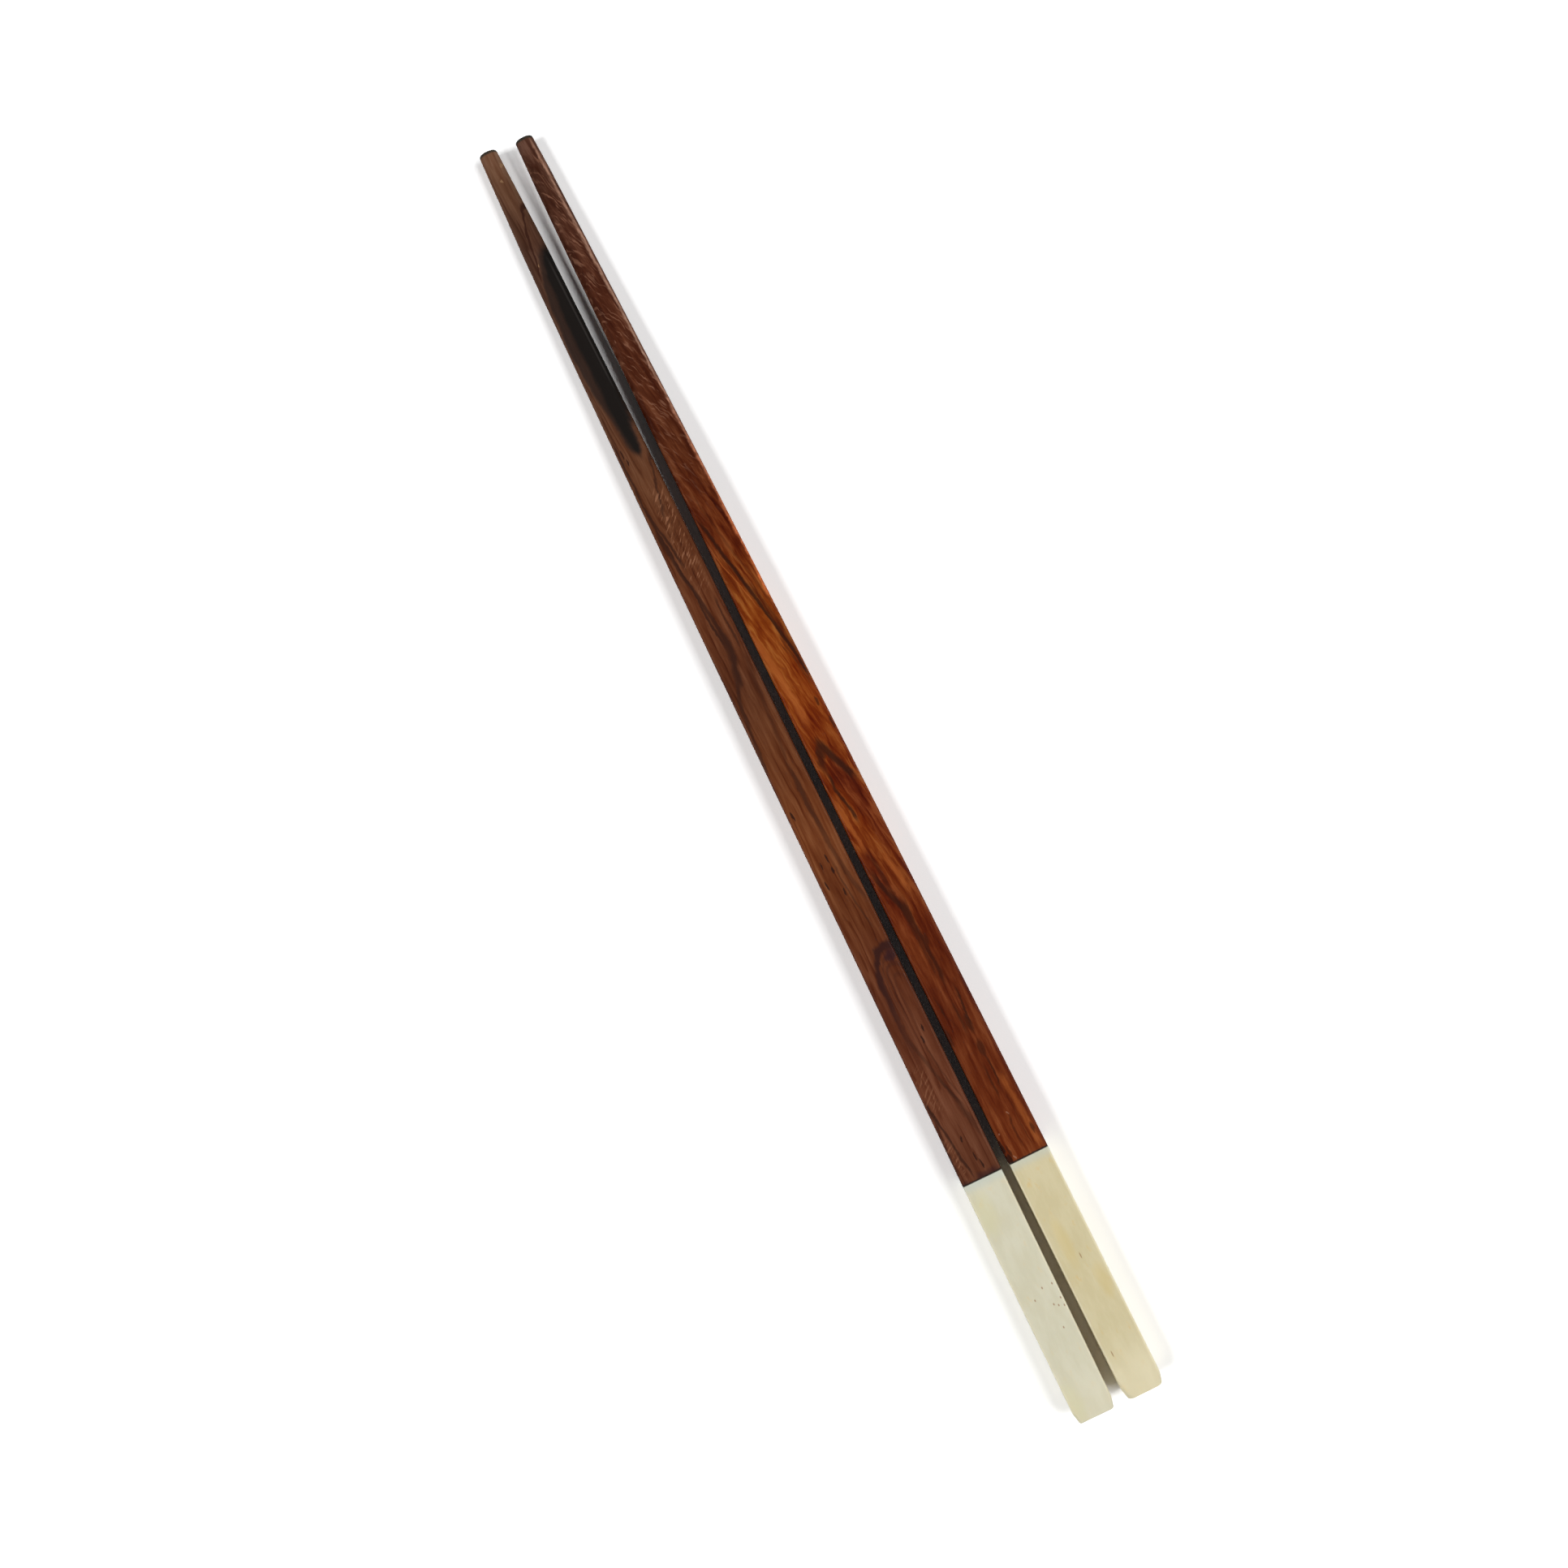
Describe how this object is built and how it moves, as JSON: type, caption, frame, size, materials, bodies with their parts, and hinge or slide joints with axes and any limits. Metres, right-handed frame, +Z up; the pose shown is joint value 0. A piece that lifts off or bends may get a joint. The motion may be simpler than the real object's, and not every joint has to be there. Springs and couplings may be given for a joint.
{
  "type": "pair of wooden chopsticks",
  "caption": "Pair of tapered hardwood chopsticks, square at the handle and round at the tip, with bone caps glued on their butt ends, lying side by side.",
  "frame": {"origin": "on the table, under the middle of the pair's box", "axes": "+Y along the pair towards the tips, +Z up from the table, +X across the pair towards the redder stick"},
  "size_m": [0.0172, 0.25, 0.0078],
  "materials": {
    "brown_wood": "oiled dark brown hardwood, satin",
    "red_wood": "oiled red-brown hardwood, satin",
    "cream_bone": "polished cream bone, satin",
    "yellow_bone": "polished yellowish bone, satin"
  },
  "bodies": {
    "root": {"left_shank": "brown_wood", "right_shank": "red_wood", "left_cap": "cream_bone", "right_cap": "yellow_bone"}
  },
  "joints": []
}
